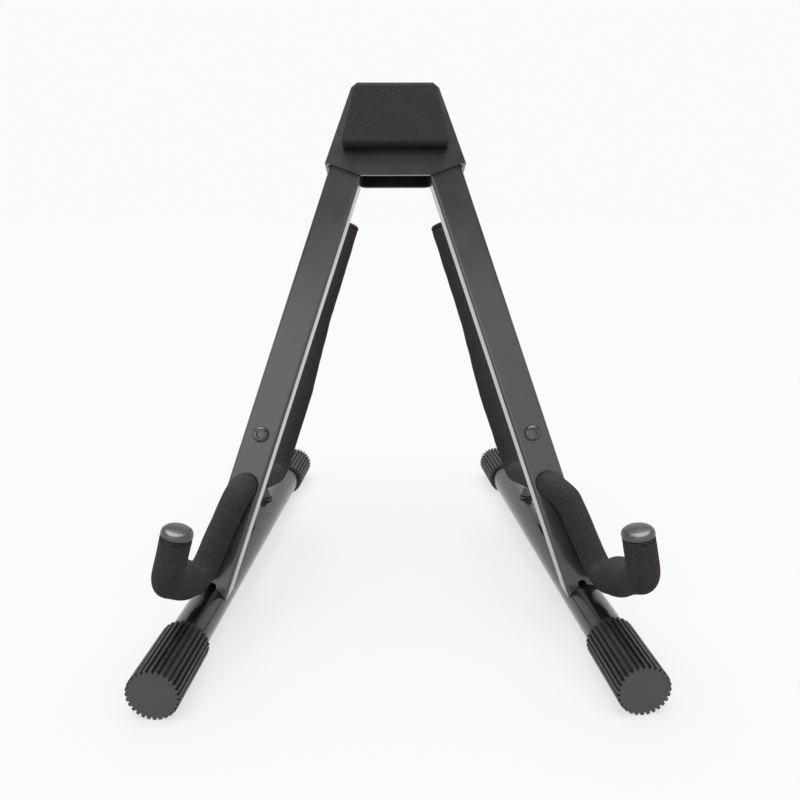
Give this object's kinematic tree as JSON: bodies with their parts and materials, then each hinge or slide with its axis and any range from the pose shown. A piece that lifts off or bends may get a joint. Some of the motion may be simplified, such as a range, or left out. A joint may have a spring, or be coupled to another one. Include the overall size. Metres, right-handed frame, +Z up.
{
  "type": "folding instrument stand",
  "caption": "Folding A-frame floor stand: two leaning box-section legs under a padded head, round base tubes with fluted feet and foam-sleeved cradle arms.",
  "frame": {"origin": "middle of the footprint on the floor", "axes": "+Z up; the cradle arms and the padded face of the head face -Y; +X is the right-hand leg seen from the front"},
  "size_m": [0.306, 0.3876, 0.3646],
  "materials": {
    "black_paint": "satin",
    "gloss_paint": "gloss",
    "black_bolt": "blackened",
    "foam": "matte",
    "foot_rubber": "matte",
    "cap_rubber": "semi-gloss"
  },
  "bodies": {
    "head": {"head_cover": "black_paint", "head_back": "black_paint", "back_pad": "foam", "pivot_pin_left": "black_bolt", "pivot_washer_left": "black_bolt", "pivot_pin_right": "black_bolt", "pivot_washer_right": "black_bolt"},
    "leg_left": {"leg_left": "black_paint", "face_bolt_left": "black_bolt", "face_bolt_nut_left": "black_bolt", "base_tube_left": "gloss_paint", "foot_front_left": "foot_rubber", "foot_rear_left": "foot_rubber", "tube_bolt_left": "black_bolt", "tube_washer_left": "black_bolt"},
    "arm_left": {"arm_rod_left": "black_paint", "arm_foam_left": "foam", "arm_cap_left": "cap_rubber", "rear_foam_left": "foam", "rear_plug_left": "foam", "arm_bush_left": "cap_rubber"},
    "leg_right": {"leg_right": "black_paint", "face_bolt_right": "black_bolt", "face_bolt_nut_right": "black_bolt", "base_tube_right": "gloss_paint", "foot_front_right": "foot_rubber", "foot_rear_right": "foot_rubber", "tube_bolt_right": "black_bolt", "tube_washer_right": "black_bolt"},
    "arm_right": {"arm_rod_right": "black_paint", "arm_foam_right": "foam", "arm_cap_right": "cap_rubber", "rear_foam_right": "foam", "rear_plug_right": "foam", "arm_bush_right": "cap_rubber"}
  },
  "joints": [
    {"name": "fold_left", "type": "hinge", "parent": "head", "child": "leg_left", "pos_m": [-0.02395, -0.00497, 0.33851], "axis": [0, 0.9583, -0.2857], "range_deg": [-17.6, 0]},
    {"name": "arm_turn_left", "type": "hinge", "parent": "leg_left", "child": "arm_left", "pos_m": [-0.10491, -0.07757, 0.09498], "axis": [0, 0.9583, -0.2857], "range_deg": [-12, 4]},
    {"name": "fold_right", "type": "hinge", "parent": "head", "child": "leg_right", "pos_m": [0.02395, -0.00497, 0.33851], "axis": [0, 0.9583, -0.2857], "range_deg": [0, 17.6]},
    {"name": "arm_turn_right", "type": "hinge", "parent": "leg_right", "child": "arm_right", "pos_m": [0.10491, -0.07757, 0.09498], "axis": [0, 0.9583, -0.2857], "range_deg": [-4, 12]}
  ]
}
